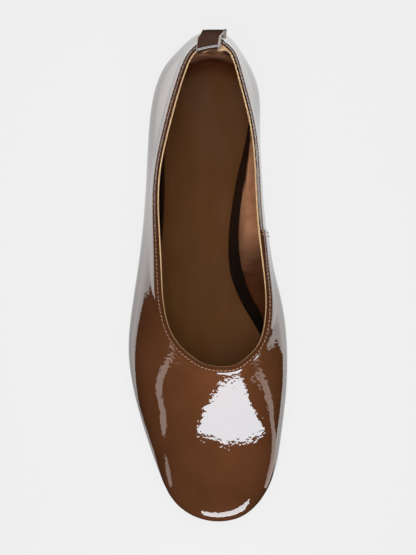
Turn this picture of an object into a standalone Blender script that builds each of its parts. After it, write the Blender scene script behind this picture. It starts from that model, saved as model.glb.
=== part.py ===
"""Round-toed ballet flat for the right foot, in patent leather, with a heel pull loop.

The shoe stands on its sole: toe towards -Y, heel towards +Y, the inner (medial) side at +X and
the outer (lateral) side at -X.  Sizes below are millimetres; meshes are metres.

Pieces, as a shoemaker puts them together:
    upper      one hollow lasted shell, open at the collar and underneath, its margin turned in
    insole     the board inside the shell, over the turned-in margin
    outsole    the thin sole with its arch and toe spring
    heel       the low block under the heel seat
    pull_loop  the strap that stands over the back of the collar
"""

import math
from collections import namedtuple

import bmesh
import bpy
import numpy as np

MM = 0.001

# ------------------------------------------------------------------ named sizes (mm)
LENGTH = 256.0  # back of the heel to toe tip
BALL_WIDTH = 83.0  # across the ball of the foot
HEEL_HEIGHT = 8.5  # floor to the underside of the sole at the heel
SOLE_T = 3.2  # outsole
WALL_T = 1.5  # patent leather and its lining together
INSOLE_T = 2.4
GAP = 0.3  # between pieces that meet
TOE_SPRING = 5.6  # lift of the sole at the toe tip
THROAT_HEIGHT = 43.0  # collar over the floor at the middle of the throat
BACK_HEIGHT = 60.0  # collar over the floor at the back of the heel

HEEL_BREAST = 66.0  # stations, measured from the back of the heel
TREAD_REAR = 156.0
TREAD_FRONT = 196.0

MARGIN = 6.0  # lasting margin turned in under the insole
SOLE_PROUD = 1.5  # outsole edge beyond the feather line
STRAP_WIDTH = 12.2
STRAP_T = 1.2

RIBS = 96  # ribs round the shell
UPPER_ROWS = 8  # rows from the widest line to the collar
LOWER_ROWS = 4  # rows from the feather line to the widest line
ACROSS = 5  # cells across the sole and the insole

# The tables are for a shoe 256 long and 83 wide, and scale with the sizes above.
ALONG = LENGTH / 256.0
WIDE = BALL_WIDTH / 83.0

# ------------------------------------------------------------------ section tables
# One row for each pair of ribs, from the heel to the toe.  lat is the outer side, med the inner.
Outline = namedtuple("Outline", "station lat med")  # widest line, seen from above
Collar = namedtuple("Collar", "st_lat lat st_med med z_lat z_med")  # top edge
Side = namedtuple("Side", "widest tuck rise lean reach")  # wall, first the lat one, then the med
# widest: height of the widest line over the feather line.  tuck: how far the feather line lies
# inside it.  rise, reach: lengths of the wall's lower and upper tangents, as shares of its height
# and of its chord.  lean: slope of the wall where it meets the collar, in degrees.

BACK = (Outline(0.0, 2.0, 2.0), Collar(8.6, 2.2, 8.6, 2.2, BACK_HEIGHT, BACK_HEIGHT),
        Side(13.0, 6.0, 0.46, 70, 0.36), Side(13.0, 6.0, 0.46, 70, 0.36))
SECTIONS = (
    (Outline(3.0, -7.2, 11.0), Collar(9.9, -2.8, 9.1, 6.9, 59.7, 59.8),
     Side(12.8, 5.4, 0.46, 69, 0.36), Side(12.8, 5.4, 0.46, 71, 0.36)),
    (Outline(9.8, -15.0, 16.8), Collar(13.4, -7.4, 12.5, 11.4, 59.0, 59.2),
     Side(12.4, 3.1, 0.46, 68, 0.36), Side(12.4, 3.1, 0.46, 72, 0.36)),
    (Outline(18.0, -22.2, 21.9), Collar(18.6, -10.7, 17.6, 14.3, 57.9, 58.2),
     Side(12.0, 3.1, 0.46, 67, 0.36), Side(12.0, 3.2, 0.46, 73, 0.36)),
    (Outline(30.0, -27.4, 26.4), Collar(30.0, -14.8, 29.5, 17.8, 55.6, 56.0),
     Side(11.8, 4.2, 0.46, 66, 0.36), Side(11.8, 3.9, 0.46, 74, 0.36)),
    (Outline(51.0, -30.6, 27.4), Collar(51.0, -20.8, 51.0, 23.2, 51.4, 52.2),
     Side(12.0, 5.8, 0.46, 67, 0.36), Side(12.0, 4.8, 0.46, 75, 0.36)),
    (Outline(76.0, -32.0, 28.3), Collar(76.0, -25.9, 76.0, 25.7, 47.6, 48.8),
     Side(12.6, 7.4, 0.46, 69, 0.36), Side(12.6, 8.6, 0.46, 77, 0.36)),
    (Outline(101.0, -33.8, 30.4), Collar(101.0, -26.1, 101.0, 27.2, 44.8, 46.4),
     Side(13.4, 8.3, 0.45, 63, 0.36), Side(13.4, 13.7, 0.45, 75, 0.36)),
    (Outline(121.0, -36.2, 33.9), Collar(121.0, -25.0, 121.0, 29.5, 42.8, 44.4),
     Side(13.8, 8.0, 0.43, 55, 0.37), Side(13.8, 15.6, 0.52, 67, 0.43)),
    (Outline(143.0, -39.5, 39.2), Collar(139.5, -23.8, 140.0, 31.0, 41.0, 42.4),
     Side(13.8, 6.4, 0.38, 43, 0.38), Side(13.8, 12.6, 0.53, 56, 0.48)),
    (Outline(166.0, -41.4, 41.6), Collar(153.9, -20.5, 155.4, 29.4, 40.2, 41.4),
     Side(13.2, 5.0, 0.30, 33, 0.43), Side(13.2, 6.2, 0.52, 41, 0.60)),
    (Outline(189.0, -38.3, 41.0), Collar(163.3, -14.7, 164.0, 25.7, 40.5, 41.3),
     Side(12.9, 4.2, 0.26, 23.5, 0.51), Side(12.8, 4.4, 0.46, 27, 0.69)),
    (Outline(211.0, -32.1, 38.4), Collar(168.7, -8.5, 168.8, 21.0, 41.6, 41.9),
     Side(12.4, 3.7, 0.23, 18, 0.60), Side(12.4, 3.8, 0.38, 19, 0.74)),
    (Outline(231.0, -25.0, 34.5), Collar(171.9, -3.4, 171.9, 16.9, 42.4, 42.5),
     Side(10.8, 3.4, 0.22, 15, 0.66), Side(11.2, 3.5, 0.30, 14.5, 0.76)),
    (Outline(246.0, -16.9, 26.5), Collar(173.4, 1.2, 173.4, 13.3, 42.8, 42.8),
     Side(8.6, 3.2, 0.23, 12.5, 0.68), Side(9.0, 3.3, 0.27, 12.5, 0.74)),
    (Outline(252.8, -8.0, 18.7), Collar(173.9, 4.4, 173.9, 10.3, 43.0, 43.0),
     Side(6.6, 3.0, 0.26, 10.8, 0.67), Side(6.8, 3.1, 0.28, 11, 0.70)),
)
TIP = (Outline(256.0, 5.5, 5.5),
       Collar(174.0, 7.3, 174.0, 7.3, THROAT_HEIGHT, THROAT_HEIGHT),
       Side(6.0, 3.0, 0.28, 10, 0.66), Side(6.0, 3.0, 0.28, 10, 0.66))

# Path of the pull loop's middle surface, from its inner end over the collar to its outer end.
# out: distance from the wall's outer face towards the toe, up: height over the collar,
# shift: sideways place of the strap's middle, width: share of the strap's full width.
Strap = namedtuple("Strap", "out up shift width")
STRAP_PATH = (
    Strap(3.1, -8.0, 1.8, 0.80),
    Strap(3.1, -4.5, 1.8, 0.80),
    Strap(3.15, -2.0, 1.7, 0.82),
    Strap(3.5, 0.2, 1.1, 0.90),
    Strap(3.8, 2.4, 0.5, 0.98),
    Strap(3.85, 4.2, 0.3, 1.0),
    Strap(3.55, 5.4, 0.3, 1.0),
    Strap(2.95, 6.2, 0.4, 1.0),
    Strap(2.1, 6.85, 0.6, 1.0),
    Strap(0.9, 7.6, 0.9, 1.0),
    Strap(-0.5, 8.45, 1.25, 1.0),
    Strap(-1.9, 9.28, 1.6, 1.0),
    Strap(-2.25, 9.38, 1.7, 1.0),
    Strap(-4.0, 9.52, 2.3, 1.0),
    Strap(-5.0, 8.9, 2.7, 1.0),
    Strap(-5.35, 7.3, 3.0, 1.0),
    Strap(-5.0, 4.8, 3.2, 1.0),
    Strap(-4.0, 1.8, 3.2, 1.0),
    Strap(-2.6, -1.5, 3.1, 1.0),
    Strap(-1.6, -4.9, 2.9, 1.0),
    Strap(-1.25, -8.4, 2.7, 1.0),
    Strap(-1.25, -13.0, 2.5, 1.0),
)


# ------------------------------------------------------------------ curves
def closed_spline(knots, values, period):
    """A smooth closed curve through values at knots: a function of any number in the period."""
    n = len(knots)
    span = np.diff(np.append(knots, knots[0] + period))
    step = np.roll(values, -1, axis=0) - values
    matrix = np.zeros((n, n))
    right = np.zeros_like(values)
    for i in range(n):
        before = span[i - 1]
        matrix[i, i - 1] += before
        matrix[i, i] += 2 * (before + span[i])
        matrix[i, (i + 1) % n] += span[i]
        right[i] = 6 * (step[i] / span[i] - step[i - 1] / before)
    bend = np.linalg.solve(matrix, right)

    def curve(at):
        at = (np.asarray(at, float) - knots[0]) % period + knots[0]
        i = np.clip(np.searchsorted(knots, at, side="right") - 1, 0, n - 1)
        j = (i + 1) % n
        t = (at - knots[i])[:, None]
        h = span[i][:, None]
        a, b = bend[i], bend[j]
        return (a * (h - t) ** 3 / (6 * h) + b * t**3 / (6 * h)
                + (values[i] / h - a * h / 6) * (h - t) + (values[j] / h - b * h / 6) * t)

    return curve


def open_spline(values):
    """A smooth curve through values, with no bend at its two ends, for t from 0 to 1."""
    values = np.asarray(values, float)
    length = np.append(0, np.cumsum(np.linalg.norm(np.diff(values, axis=0), axis=1)))
    n = len(values)
    span = np.diff(length)
    matrix, right = np.eye(n), np.zeros_like(values)
    for i in range(1, n - 1):
        matrix[i, i - 1 : i + 2] = span[i - 1], 2 * (span[i - 1] + span[i]), span[i]
        right[i] = 6 * ((values[i + 1] - values[i]) / span[i]
                        - (values[i] - values[i - 1]) / span[i - 1])
    bend = np.linalg.solve(matrix, right)

    def curve(t):
        at = np.asarray(t, float) * length[-1]
        i = np.clip(np.searchsorted(length, at, side="right") - 1, 0, n - 2)
        t, h = (at - length[i])[:, None], span[i][:, None]
        a, b = bend[i], bend[i + 1]
        return (a * (h - t) ** 3 / (6 * h) + b * t**3 / (6 * h)
                + (values[i] / h - a * h / 6) * (h - t)
                + (values[i + 1] / h - b * h / 6) * t)

    return curve


def smooth(t):
    t = np.clip(t, 0.0, 1.0)
    return t * t * t * (t * (6 * t - 15) + 10)


def feather_z(station):
    """Height of the upper's bottom edge: heel seat, arch, flat tread, toe spring."""
    tread = SOLE_T + GAP
    seat = HEEL_HEIGHT + tread
    arch = seat + (tread - seat) * smooth(
        (station - HEEL_BREAST * ALONG) / ((TREAD_REAR - HEEL_BREAST) * ALONG))
    toe = np.clip((station - TREAD_FRONT * ALONG) / ((LENGTH - TREAD_FRONT * ALONG)), 0, None)
    return arch + TOE_SPRING * toe**1.9


# ------------------------------------------------------------------ the last
def rib_values(section, side):
    outline, collar = section[:2]
    lat = side == "lat"
    wall = section[2] if lat else section[3]
    return [
        (outline.lat if lat else outline.med) * WIDE,
        outline.station * ALONG,
        (collar.lat if lat else collar.med) * WIDE,
        (collar.st_lat if lat else collar.st_med) * ALONG,
        collar.z_lat if lat else collar.z_med,
        wall.widest,
        wall.tuck,
        wall.rise,
        wall.lean,
        wall.reach,
    ]


KEYS = np.array(
    [rib_values(BACK, "lat")]
    + [rib_values(s, "lat") for s in SECTIONS]
    + [rib_values(TIP, "lat")]
    + [rib_values(s, "med") for s in reversed(SECTIONS)]
)
_gaps = np.linalg.norm(np.roll(KEYS[:, :2], -1, axis=0) - KEYS[:, :2], axis=1)
KNOTS = np.append(0, np.cumsum(_gaps))[:-1]
ROUND = float(_gaps.sum())  # once round the outline
TIP_AT = float(KNOTS[len(SECTIONS) + 1])
LAST = closed_spline(KNOTS, KEYS, ROUND)


def around(count):
    """Places on the outline: the back, the lateral side, the tip, the medial side, in pairs."""
    half = count // 2
    lat = np.linspace(0, TIP_AT, half + 1)
    med = np.linspace(TIP_AT, ROUND, half + 1)[1:-1]
    return np.concatenate([lat, med])


def inward(at):
    """Unit vectors in plan that point into the shoe, across the outline."""
    step = 0.5
    along = LAST(at + step)[:, :2] - LAST(at - step)[:, :2]
    along /= np.linalg.norm(along, axis=1)[:, None]
    return np.stack([along[:, 1], -along[:, 0]], axis=1)


def feather(at, more=0.0):
    """The feather line in plan, or a line that lies `more` inside it."""
    value = LAST(at)
    return value[:, :2] + inward(at) * (value[:, 6] + more)[:, None]


def bezier(p0, p1, p2, p3, t):
    return (1 - t) ** 3 * p0 + 3 * (1 - t) ** 2 * t * p1 + 3 * (1 - t) * t**2 * p2 + t**3 * p3


def ring_at(at, level):
    """One ring of the shell's outer face.  level: -1 feather line, 0 widest line, 1 collar."""
    v = LAST(at)
    out, top, z_top = v[:, :2], v[:, 2:4], v[:, 4]
    tuck, rise, lean, reach = v[:, 6], v[:, 7], np.radians(v[:, 8]), v[:, 9]
    z_foot = feather_z(feather(at)[:, 1])
    z_wide = z_foot + v[:, 5]
    if level >= 0:
        run = np.linalg.norm(top - out, axis=1)
        way = (top - out) / run[:, None]
        chord = np.hypot(run, z_top - z_wide)
        d = bezier(0, 0, run - reach * chord * np.cos(lean), run, level)
        z = bezier(z_wide, z_wide + rise * (z_top - z_wide),
                   z_top - reach * chord * np.sin(lean), z_top, level)
    else:
        way = inward(at)
        t = -level
        d = bezier(0, 0, 0.45 * tuck, tuck, t)
        z = bezier(z_wide, z_wide - 0.55 * (z_wide - z_foot), z_foot, z_foot, t)
    plan = out + way * d[:, None]
    return np.column_stack([plan, z])


def place(points):
    """Last coordinates (across, station, height) in mm to metres, toe towards -Y."""
    p = np.asarray(points, float)
    return np.column_stack([p[:, 0], LENGTH / 2 - p[:, 1], p[:, 2]]) * MM


# ------------------------------------------------------------------ Blender helpers
def clear_scene():
    for obj in list(bpy.data.objects):
        bpy.data.objects.remove(obj, do_unlink=True)


def material(name, colour, roughness, metallic=0.0, coat=0.0):
    mat = bpy.data.materials.new(name)
    mat.use_nodes = True
    shader = mat.node_tree.nodes["Principled BSDF"]
    shader.inputs["Base Color"].default_value = (*colour, 1.0)
    shader.inputs["Roughness"].default_value = roughness
    shader.inputs["Metallic"].default_value = metallic
    shader.inputs["Coat Weight"].default_value = coat
    return mat


def add_object(name, bm, mat, collection, parent):
    bmesh.ops.recalc_face_normals(bm, faces=bm.faces)
    mesh = bpy.data.meshes.new(name)
    bm.to_mesh(mesh)
    bm.free()
    mesh.shade_smooth()
    mesh.set_sharp_from_angle(angle=math.radians(40))
    mesh.materials.append(mat)
    obj = bpy.data.objects.new(name, mesh)
    collection.objects.link(obj)
    obj.parent = parent
    return obj


def loft_rings(rings):
    """A surface through closed rings that have the same number of points."""
    bm = bmesh.new()
    rows = [[bm.verts.new(p) for p in place(ring)] for ring in rings]
    count = len(rows[0])
    for low, high in zip(rows, rows[1:]):
        for i in range(count):
            j = (i + 1) % count
            bm.faces.new((low[i], low[j], high[j], high[i]))
    return bm


def loft_across(edge, height, cells):
    """A sheet between the two sides of a closed edge, ordered as around() orders it."""
    bm = bmesh.new()
    half = len(edge) // 2

    def at(p):
        return bm.verts.new(place(np.array([[p[0], p[1], height(p[1])]]))[0])

    back, tip = at(edge[0]), at(edge[half])
    rows = []
    for i in range(1, half):
        lat, med = edge[i], edge[len(edge) - i]
        rows.append([at(lat + (med - lat) * c / cells) for c in range(cells + 1)])
    for low, high in zip(rows, rows[1:]):
        for c in range(cells):
            bm.faces.new((low[c], low[c + 1], high[c + 1], high[c]))
    for c in range(cells):
        bm.faces.new((back, rows[0][c + 1], rows[0][c]))
        bm.faces.new((tip, rows[-1][c], rows[-1][c + 1]))
    return bm


def thicken(obj, thickness, offset):
    """Solidify: offset -1 grows against the normals, 1 along them, 0 both ways."""
    mod = obj.modifiers.new("thickness", "SOLIDIFY")
    mod.thickness = thickness * MM
    mod.offset = offset
    mod.use_even_offset = True
    mod.use_rim = True


def face_up(obj):
    """Turns an open sheet so that its normals point up."""
    bm = bmesh.new()
    bm.from_mesh(obj.data)
    if sum(f.normal.z * f.calc_area() for f in bm.faces) < 0:
        bmesh.ops.reverse_faces(bm, faces=bm.faces)
    bm.to_mesh(obj.data)
    bm.free()


def face_out(obj):
    """Turns the shell so that its normals point away from the foot."""
    bm = bmesh.new()
    bm.from_mesh(obj.data)
    if sum(f.normal.x * f.calc_center_median().x * f.calc_area() for f in bm.faces) < 0:
        bmesh.ops.reverse_faces(bm, faces=bm.faces)
    bm.to_mesh(obj.data)
    bm.free()


# ------------------------------------------------------------------ pieces
def make_upper(mat, collection, parent):
    at = around(RIBS)
    turned = [feather(at, more) for more in (MARGIN, MARGIN * 0.5)]
    rings = [np.column_stack([line, feather_z(line[:, 1])]) for line in turned]
    rings += [ring_at(at, -level) for level in np.linspace(1, 0, LOWER_ROWS + 1)]
    rings += [ring_at(at, level) for level in np.linspace(0, 1, UPPER_ROWS + 1)[1:]]
    obj = add_object("upper", loft_rings(rings), mat, collection, parent)
    face_out(obj)
    thicken(obj, WALL_T, -1.0)
    return obj


def make_insole(mat, collection, parent):
    edge = feather(around(RIBS), 0.6)
    obj = add_object("insole", loft_across(edge, lambda s: feather_z(s) + WALL_T + GAP, ACROSS),
                     mat, collection, parent)
    face_up(obj)
    thicken(obj, INSOLE_T, 1.0)
    return obj


def make_outsole(mat, collection, parent):
    edge = feather(around(RIBS), -SOLE_PROUD)
    obj = add_object("outsole", loft_across(edge, lambda s: feather_z(s) - GAP, ACROSS),
                     mat, collection, parent)
    face_up(obj)
    thicken(obj, SOLE_T, -1.0)
    return obj


def make_heel(mat, collection, parent):
    """A low block: the sole's own heel outline, closed by a slightly hollow breast."""
    at = around(RIBS * 2)
    line = feather(at, -SOLE_PROUD + 0.4)
    station = line[:, 1]
    half = len(at) // 2
    lat = [line[i] for i in range(0, half) if station[i] < HEEL_BREAST - 2]
    med = [line[len(at) - i] for i in range(1, half) if station[len(at) - i] < HEEL_BREAST - 2]
    a, b = lat[-1], med[-1]
    a, b = np.array([a[0], HEEL_BREAST - 1.0]), np.array([b[0], HEEL_BREAST - 1.0])
    hollow = 4.0
    breast = []
    for t in np.linspace(0, 1, 13):
        p = a + (b - a) * t
        breast.append(np.array([p[0], p[1] - hollow * 4 * t * (1 - t)]))
    outline = lat + breast + med[::-1]
    height = HEEL_HEIGHT - GAP
    curve = bpy.data.curves.new("heel", "CURVE")
    curve.dimensions = "2D"
    curve.fill_mode = "BOTH"
    curve.extrude = height / 2 * MM
    spline = curve.splines.new("POLY")
    flat = place(np.array([[p[0], p[1], 0.0] for p in outline]))
    spline.points.add(len(flat) - 1)
    for point, p in zip(spline.points, flat):
        point.co = (p[0], p[1], 0.0, 1.0)
    spline.use_cyclic_u = True
    curve.materials.append(mat)
    obj = bpy.data.objects.new("heel", curve)
    collection.objects.link(obj)
    obj.parent = parent
    obj.location.z = height / 2 * MM
    return obj


def back_wall(x, z):
    """Station of the heel wall's outer face at a sideways place and a height."""
    at = np.concatenate([np.linspace(ROUND - 30, ROUND, 31), np.linspace(0, 30, 31)[1:]])
    rings = np.array([ring_at(at, level) for level in np.linspace(0, 1, 41)])
    xs, stations = [], []
    for i in range(len(at)):
        column = rings[:, i]
        height = min(z, column[-1, 2])
        xs.append(np.interp(height, column[:, 2], column[:, 0]))
        stations.append(np.interp(height, column[:, 2], column[:, 1]))
    order = np.argsort(xs)
    return float(np.interp(x, np.array(xs)[order], np.array(stations)[order]))


def make_pull_loop(mat, collection, parent):
    """A strap that lies on the lining, turns over the collar and lies on the back of the heel."""
    rows, cells = 30, 6
    path = open_spline([(p.out, p.up, p.shift, p.width * STRAP_WIDTH) for p in STRAP_PATH])
    path = path(np.linspace(0, 1, rows))
    collar_z = float(LAST(np.array([0.0]))[0, 4])
    bm = bmesh.new()
    grid = []
    for out, up, shift, width in path:
        z = collar_z + min(up, 0.0) - 0.4
        hug = 1.0 - 0.85 * float(smooth((up + 1.0) / 4.5))
        middle = back_wall(shift, z)
        line = []
        for c in range(cells + 1):
            x = shift + width * (c / cells - 0.5)
            wall = back_wall(x, z)
            slope = (back_wall(x + 0.4, z) - back_wall(x - 0.4, z)) / 0.8
            station = middle + (wall - middle) * hug + out * (1 + (math.hypot(1, slope) - 1) * hug)
            line.append(bm.verts.new(place(np.array([[x, station, collar_z + up]]))[0]))
        grid.append(line)
    for low, high in zip(grid, grid[1:]):
        for c in range(cells):
            bm.faces.new((low[c], low[c + 1], high[c + 1], high[c]))
    obj = add_object("pull_loop", bm, mat, collection, parent)
    thicken(obj, STRAP_T, 0.0)
    return obj


def centre_on_floor(root):
    """Moves the parent so that the origin is under the middle of the shoe, on the floor."""
    bpy.context.view_layer.update()
    graph = bpy.context.evaluated_depsgraph_get()
    low, high = np.full(3, 1e9), np.full(3, -1e9)
    for obj in root.children:
        evaluated = obj.evaluated_get(graph)
        mesh = evaluated.to_mesh()
        co = np.empty(len(mesh.vertices) * 3, np.float32)
        mesh.vertices.foreach_get("co", co)
        world = np.array(evaluated.matrix_world)
        co = co.reshape(-1, 3) @ world[:3, :3].T + world[:3, 3]
        low, high = np.minimum(low, co.min(0)), np.maximum(high, co.max(0))
        evaluated.to_mesh_clear()
    root.location = (-(low[0] + high[0]) / 2, -(low[1] + high[1]) / 2, -low[2])


def main():
    clear_scene()
    collection = bpy.data.collections.new("ballet_flat")
    bpy.context.scene.collection.children.link(collection)
    root = bpy.data.objects.new("ballet_flat_root", None)
    collection.objects.link(root)
    patent = material("patent_leather", (0.095, 0.040, 0.018), 0.12, coat=1.0)
    sock = material("insole_leather", (0.070, 0.032, 0.014), 0.55)
    sole = material("sole_leather", (0.060, 0.030, 0.016), 0.5)
    block = material("heel_block", (0.050, 0.026, 0.014), 0.45)
    loop = material("loop_leather", (0.105, 0.050, 0.028), 0.16, coat=0.8)
    make_upper(patent, collection, root)
    make_insole(sock, collection, root)
    make_outsole(sole, collection, root)
    make_heel(block, collection, root)
    make_pull_loop(loop, collection, root)
    centre_on_floor(root)


main()
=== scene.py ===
"""Looks of the brown patent ballet flat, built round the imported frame.

The shoe stands on its sole: toe towards -Y, heel towards +Y, inner (medial) side at +X.
Tables and sizes are millimetres, meshes are metres.
"""

import math
from collections import namedtuple

import bmesh
import bpy
import numpy as np
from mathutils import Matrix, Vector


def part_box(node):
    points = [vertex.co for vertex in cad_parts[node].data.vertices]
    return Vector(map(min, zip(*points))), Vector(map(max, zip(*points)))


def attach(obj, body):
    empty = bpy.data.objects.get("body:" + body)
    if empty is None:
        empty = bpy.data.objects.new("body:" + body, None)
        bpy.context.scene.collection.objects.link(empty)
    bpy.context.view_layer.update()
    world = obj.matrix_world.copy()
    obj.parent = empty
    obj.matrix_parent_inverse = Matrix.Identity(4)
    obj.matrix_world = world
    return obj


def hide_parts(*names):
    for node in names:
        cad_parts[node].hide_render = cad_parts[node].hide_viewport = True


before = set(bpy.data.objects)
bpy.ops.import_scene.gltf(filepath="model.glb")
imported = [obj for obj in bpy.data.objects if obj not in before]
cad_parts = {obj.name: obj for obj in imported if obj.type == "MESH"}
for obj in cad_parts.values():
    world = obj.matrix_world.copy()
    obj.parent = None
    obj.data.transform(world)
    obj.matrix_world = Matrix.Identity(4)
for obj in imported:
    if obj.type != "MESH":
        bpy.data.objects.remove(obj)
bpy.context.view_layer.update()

MM = 0.001

# ------------------------------------------------------------------ named sizes (mm)
LENGTH = 256.0
BALL_WIDTH = 83.0
HEEL_HEIGHT = 8.5
SOLE_T = 3.2
WALL_T = 1.5
INSOLE_T = 2.4
GAP = 0.3
TOE_SPRING = 5.6
THROAT_HEIGHT = 43.0
BACK_HEIGHT = 60.0
HEEL_BREAST = 66.0
TREAD_REAR = 156.0
TREAD_FRONT = 196.0
MARGIN = 6.0
SOLE_PROUD = 1.5
STRAP_WIDTH = 12.2
STRAP_T = 1.2
CAD_RIBS = 96
ALONG = LENGTH / 256.0
WIDE = BALL_WIDTH / 83.0

SOCK_T = 0.7  # thin leather sock on the insole board
STITCH_FROM_EDGE = 2.0  # stitch row under the collar edge
STITCH_PITCH = 2.06
STITCH_LENGTH = 1.5
THREAD = 0.5
ROLL = 0.85  # how far the collar edge rolls in over the stitched band
ROLL_BAND = 3.6
BAND_SWELL = 0.65  # the folded band stands out from the wall below it
RIM_OVER = 0.22  # the raw edge stands in over the lining
LOOP_PAD = 2.9  # the lining lies over the inner end of the loop
CUP_MIDDLE = 2.2  # round back of the seat: middle, radius, place and run-out of the lining
CUP_RADIUS = 19.0
CUP_STATION = 10.3
CUP_LEAN = 4.6
SEAM_STATION = 103.4  # side seam on the medial collar
SEAM_STEP = 0.75

# ------------------------------------------------------------------ section tables
Outline = namedtuple("Outline", "station lat med")
Collar = namedtuple("Collar", "st_lat lat st_med med z_lat z_med")
Side = namedtuple("Side", "widest tuck rise lean reach")
BACK = (Outline(0.0, 2.0, 2.0), Collar(8.6, 2.2, 8.6, 2.2, BACK_HEIGHT, BACK_HEIGHT),
        Side(13.0, 6.0, 0.46, 70, 0.36), Side(13.0, 6.0, 0.46, 70, 0.36))
SECTIONS = (
    (Outline(3.0, -7.2, 11.0), Collar(9.9, -2.8, 9.1, 6.9, 59.7, 59.8),
     Side(12.8, 5.4, 0.46, 69, 0.36), Side(12.8, 5.4, 0.46, 71, 0.36)),
    (Outline(9.8, -15.0, 16.8), Collar(13.4, -7.4, 12.5, 11.4, 59.0, 59.2),
     Side(12.4, 3.1, 0.46, 68, 0.36), Side(12.4, 3.1, 0.46, 72, 0.36)),
    (Outline(18.0, -22.2, 21.9), Collar(18.6, -10.7, 17.6, 14.3, 57.9, 58.2),
     Side(12.0, 3.1, 0.46, 67, 0.36), Side(12.0, 3.2, 0.46, 73, 0.36)),
    (Outline(30.0, -27.4, 26.4), Collar(30.0, -14.8, 29.5, 17.8, 55.6, 56.0),
     Side(11.8, 4.2, 0.46, 66, 0.36), Side(11.8, 3.9, 0.46, 74, 0.36)),
    (Outline(51.0, -30.6, 27.4), Collar(51.0, -20.8, 51.0, 23.2, 51.4, 52.2),
     Side(12.0, 5.8, 0.46, 67, 0.36), Side(12.0, 4.8, 0.46, 75, 0.36)),
    (Outline(76.0, -32.0, 28.3), Collar(76.0, -25.9, 76.0, 25.7, 47.6, 48.8),
     Side(12.6, 7.4, 0.46, 69, 0.36), Side(12.6, 8.6, 0.46, 77, 0.36)),
    (Outline(101.0, -33.8, 30.4), Collar(101.0, -26.1, 101.0, 27.2, 44.8, 46.4),
     Side(13.4, 8.3, 0.45, 63, 0.36), Side(13.4, 13.7, 0.45, 75, 0.36)),
    (Outline(121.0, -36.2, 33.9), Collar(121.0, -25.0, 121.0, 29.5, 42.8, 44.4),
     Side(13.8, 8.0, 0.43, 55, 0.37), Side(13.8, 15.6, 0.52, 67, 0.43)),
    (Outline(143.0, -39.5, 39.2), Collar(139.5, -23.8, 140.0, 31.0, 41.0, 42.4),
     Side(13.8, 6.4, 0.38, 43, 0.38), Side(13.8, 12.6, 0.53, 56, 0.48)),
    (Outline(166.0, -41.4, 41.6), Collar(153.9, -20.5, 155.4, 29.4, 40.2, 41.4),
     Side(13.2, 5.0, 0.30, 33, 0.43), Side(13.2, 6.2, 0.52, 41, 0.60)),
    (Outline(189.0, -38.3, 41.0), Collar(163.3, -14.7, 164.0, 25.7, 40.5, 41.3),
     Side(12.9, 4.2, 0.26, 23.5, 0.51), Side(12.8, 4.4, 0.46, 27, 0.69)),
    (Outline(211.0, -32.1, 38.4), Collar(168.7, -8.5, 168.8, 21.0, 41.6, 41.9),
     Side(12.4, 3.7, 0.23, 18, 0.60), Side(12.4, 3.8, 0.38, 19, 0.74)),
    (Outline(231.0, -25.0, 34.5), Collar(171.9, -3.4, 171.9, 16.9, 42.4, 42.5),
     Side(10.8, 3.4, 0.22, 15, 0.66), Side(11.2, 3.5, 0.30, 14.5, 0.76)),
    (Outline(246.0, -16.9, 26.5), Collar(173.4, 1.2, 173.4, 13.3, 42.8, 42.8),
     Side(8.6, 3.2, 0.23, 12.5, 0.68), Side(9.0, 3.3, 0.27, 12.5, 0.74)),
    (Outline(252.8, -8.0, 18.7), Collar(173.9, 4.4, 173.9, 10.3, 43.0, 43.0),
     Side(6.6, 3.0, 0.26, 10.8, 0.67), Side(6.8, 3.1, 0.28, 11, 0.70)),
)
TIP = (Outline(256.0, 5.5, 5.5),
       Collar(174.0, 7.3, 174.0, 7.3, THROAT_HEIGHT, THROAT_HEIGHT),
       Side(6.0, 3.0, 0.28, 10, 0.66), Side(6.0, 3.0, 0.28, 10, 0.66))

# Path of the pull loop's middle surface, from its inner end over the collar to its outer end.
# out: distance from the wall's outer face towards the toe, up: height over the collar,
# shift: sideways place of the strap's middle, width: share of the strap's full width.
Strap = namedtuple("Strap", "out up shift width")
STRAP_PATH = (
    Strap(3.1, -8.0, 1.8, 0.80),
    Strap(3.1, -4.5, 1.8, 0.80),
    Strap(3.15, -2.0, 1.7, 0.82),
    Strap(3.5, 0.2, 1.1, 0.90),
    Strap(3.9, 2.4, 0.4, 0.98),
    Strap(3.95, 4.6, 0.3, 1.0),
    Strap(3.55, 5.75, 0.3, 1.0),
    Strap(2.9, 6.45, 0.4, 1.0),
    Strap(1.5, 7.25, 0.6, 1.0),
    Strap(-0.2, 8.2, 0.85, 1.0),
    Strap(-1.9, 9.15, 1.1, 1.0),
    Strap(-3.7, 9.5, 3.0, 1.0),
    Strap(-4.5, 8.9, 3.4, 1.0),
    Strap(-4.75, 7.3, 3.5, 1.0),
    Strap(-4.5, 4.8, 3.4, 1.0),
    Strap(-3.7, 1.8, 3.3, 1.0),
    Strap(-2.6, -1.5, 3.1, 1.0),
    Strap(-1.6, -4.9, 2.9, 1.0),
    Strap(-1.25, -8.4, 2.7, 1.0),
    Strap(-1.25, -13.0, 2.5, 1.0),
)

SockEdge = namedtuple("SockEdge", "station med")
SOCK_EDGE = (
    SockEdge(20.0, 26.0),
    SockEdge(36.0, 23.6),
    SockEdge(47.0, 21.9),
    SockEdge(60.0, 19.2),
    SockEdge(73.1, 16.0),
    SockEdge(90.4, 12.85),
    SockEdge(103.5, 11.3),
    SockEdge(109.5, 11.0),
    SockEdge(119.8, 11.4),
    SockEdge(130.2, 14.3),
    SockEdge(140.5, 18.6),
    SockEdge(150.9, 24.6),
    SockEdge(158.0, 28.8),
    SockEdge(172.0, 36.0),
    SockEdge(260.0, 60.0),
)


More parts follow.
